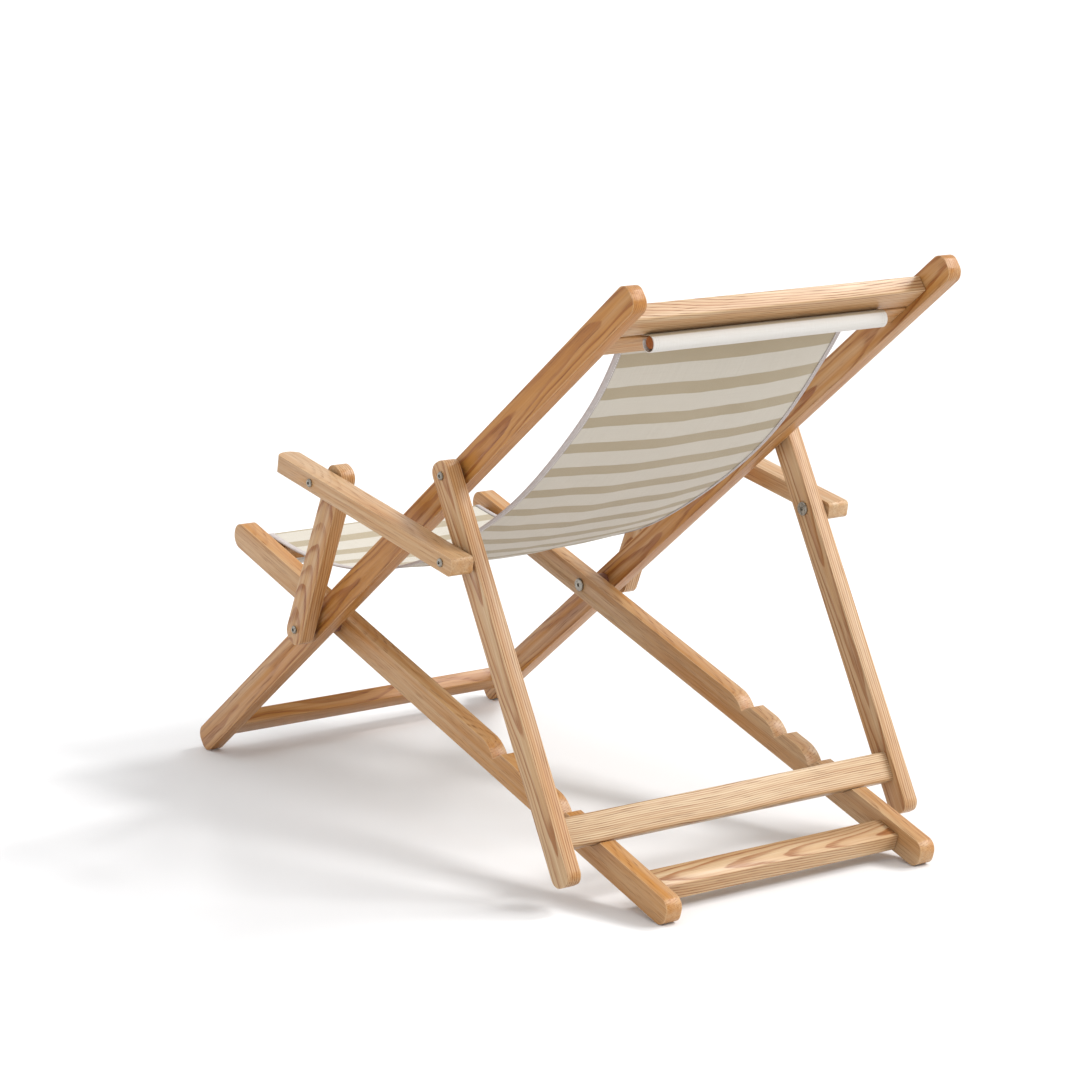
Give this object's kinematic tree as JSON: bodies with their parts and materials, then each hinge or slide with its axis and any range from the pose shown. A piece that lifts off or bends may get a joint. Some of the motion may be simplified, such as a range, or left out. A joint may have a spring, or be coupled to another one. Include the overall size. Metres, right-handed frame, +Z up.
{
  "type": "folding deck chair",
  "caption": "Folding wooden deck chair with a striped fabric sling, arms and a prop frame that drops into notches.",
  "frame": {"origin": "on the floor, midway between the foremost and the rearmost foot and midway between the sides", "axes": "+X to the sitter's left, +Y to the sitter's rear, +Z up"},
  "size_m": [0.6324, 0.9968, 0.7532],
  "materials": {
    "ash_wood": "honey-coloured clear finish, satin",
    "dowel_wood": "reddish hardwood dowel, clear finish",
    "striped_canvas": "cream canvas with khaki cross stripes, matt",
    "plated_steel": "yellowish plated steel, satin",
    "brown_nylon": "dark reddish-brown, matt"
  },
  "bodies": {
    "back_frame": {"left_back_rail": "ash_wood", "right_back_rail": "ash_wood", "front_stretcher": "ash_wood", "slot_rail": "ash_wood", "head_rail": "ash_wood", "top_dowel": "dowel_wood", "sling": "striped_canvas", "left_main_bolt": "plated_steel", "right_main_bolt": "plated_steel", "left_main_cap_nut": "plated_steel", "right_main_cap_nut": "plated_steel", "left_main_bush": "brown_nylon", "right_main_bush": "brown_nylon", "left_main_washer": "brown_nylon", "right_main_washer": "brown_nylon", "left_prop_bolt": "plated_steel", "right_prop_bolt": "plated_steel", "left_prop_cap_nut": "plated_steel", "right_prop_cap_nut": "plated_steel", "left_prop_washer": "brown_nylon", "right_prop_washer": "brown_nylon"},
    "seat_frame": {"left_seat_rail": "ash_wood", "right_seat_rail": "ash_wood", "rear_stretcher": "ash_wood", "seat_slot_rail": "ash_wood", "front_dowel": "dowel_wood"},
    "prop_frame": {"left_prop_leg": "ash_wood", "right_prop_leg": "ash_wood", "prop_crossbar": "ash_wood", "left_arm_rear_bolt": "plated_steel", "right_arm_rear_bolt": "plated_steel", "left_arm_rear_cap_nut": "plated_steel", "right_arm_rear_cap_nut": "plated_steel", "left_arm_rear_washer": "brown_nylon", "right_arm_rear_washer": "brown_nylon"},
    "left_post": {"left_arm_post": "ash_wood", "left_arm_front_cap_nut": "plated_steel"},
    "right_post": {"right_arm_post": "ash_wood", "right_arm_front_cap_nut": "plated_steel"},
    "left_arm": {"left_armrest": "ash_wood", "left_arm_front_bolt": "plated_steel", "left_arm_front_washer": "brown_nylon"},
    "right_arm": {"right_armrest": "ash_wood", "right_arm_front_bolt": "plated_steel", "right_arm_front_washer": "brown_nylon"}
  },
  "joints": [
    {"name": "seat_fold", "type": "hinge", "parent": "back_frame", "child": "seat_frame", "pos_m": [0, -0.20586, 0.22863], "axis": [1, 0, 0], "range_deg": [0, 48], "deforming": ["sling"]},
    {"name": "prop_swing", "type": "hinge", "parent": "back_frame", "child": "prop_frame", "pos_m": [0, 0.1307, 0.48651], "axis": [1, 0, 0], "range_deg": [0, 104.64]},
    {"name": "left_post_swing", "type": "hinge", "parent": "back_frame", "child": "left_post", "pos_m": [0, -0.20586, 0.22863], "axis": [1, 0, 0], "range_deg": [-24, 0]},
    {"name": "left_arm_swing", "type": "hinge", "parent": "prop_frame", "child": "left_arm", "pos_m": [0, 0.18246, 0.39287], "axis": [1, 0, 0], "range_deg": [-58.34, 0]},
    {"name": "right_post_swing", "type": "hinge", "parent": "back_frame", "child": "right_post", "pos_m": [0, -0.20586, 0.22863], "axis": [1, 0, 0], "range_deg": [-24, 0]},
    {"name": "right_arm_swing", "type": "hinge", "parent": "prop_frame", "child": "right_arm", "pos_m": [0, 0.18246, 0.39287], "axis": [1, 0, 0], "range_deg": [-58.34, 0]}
  ],
  "couplings": [
    {"joint": "prop_swing", "follows": "seat_fold", "ratio": 2.18},
    {"joint": "left_post_swing", "follows": "seat_fold", "ratio": -0.5},
    {"joint": "left_arm_swing", "follows": "seat_fold", "ratio": -1.2154},
    {"joint": "right_post_swing", "follows": "seat_fold", "ratio": -0.5},
    {"joint": "right_arm_swing", "follows": "seat_fold", "ratio": -1.2154}
  ]
}
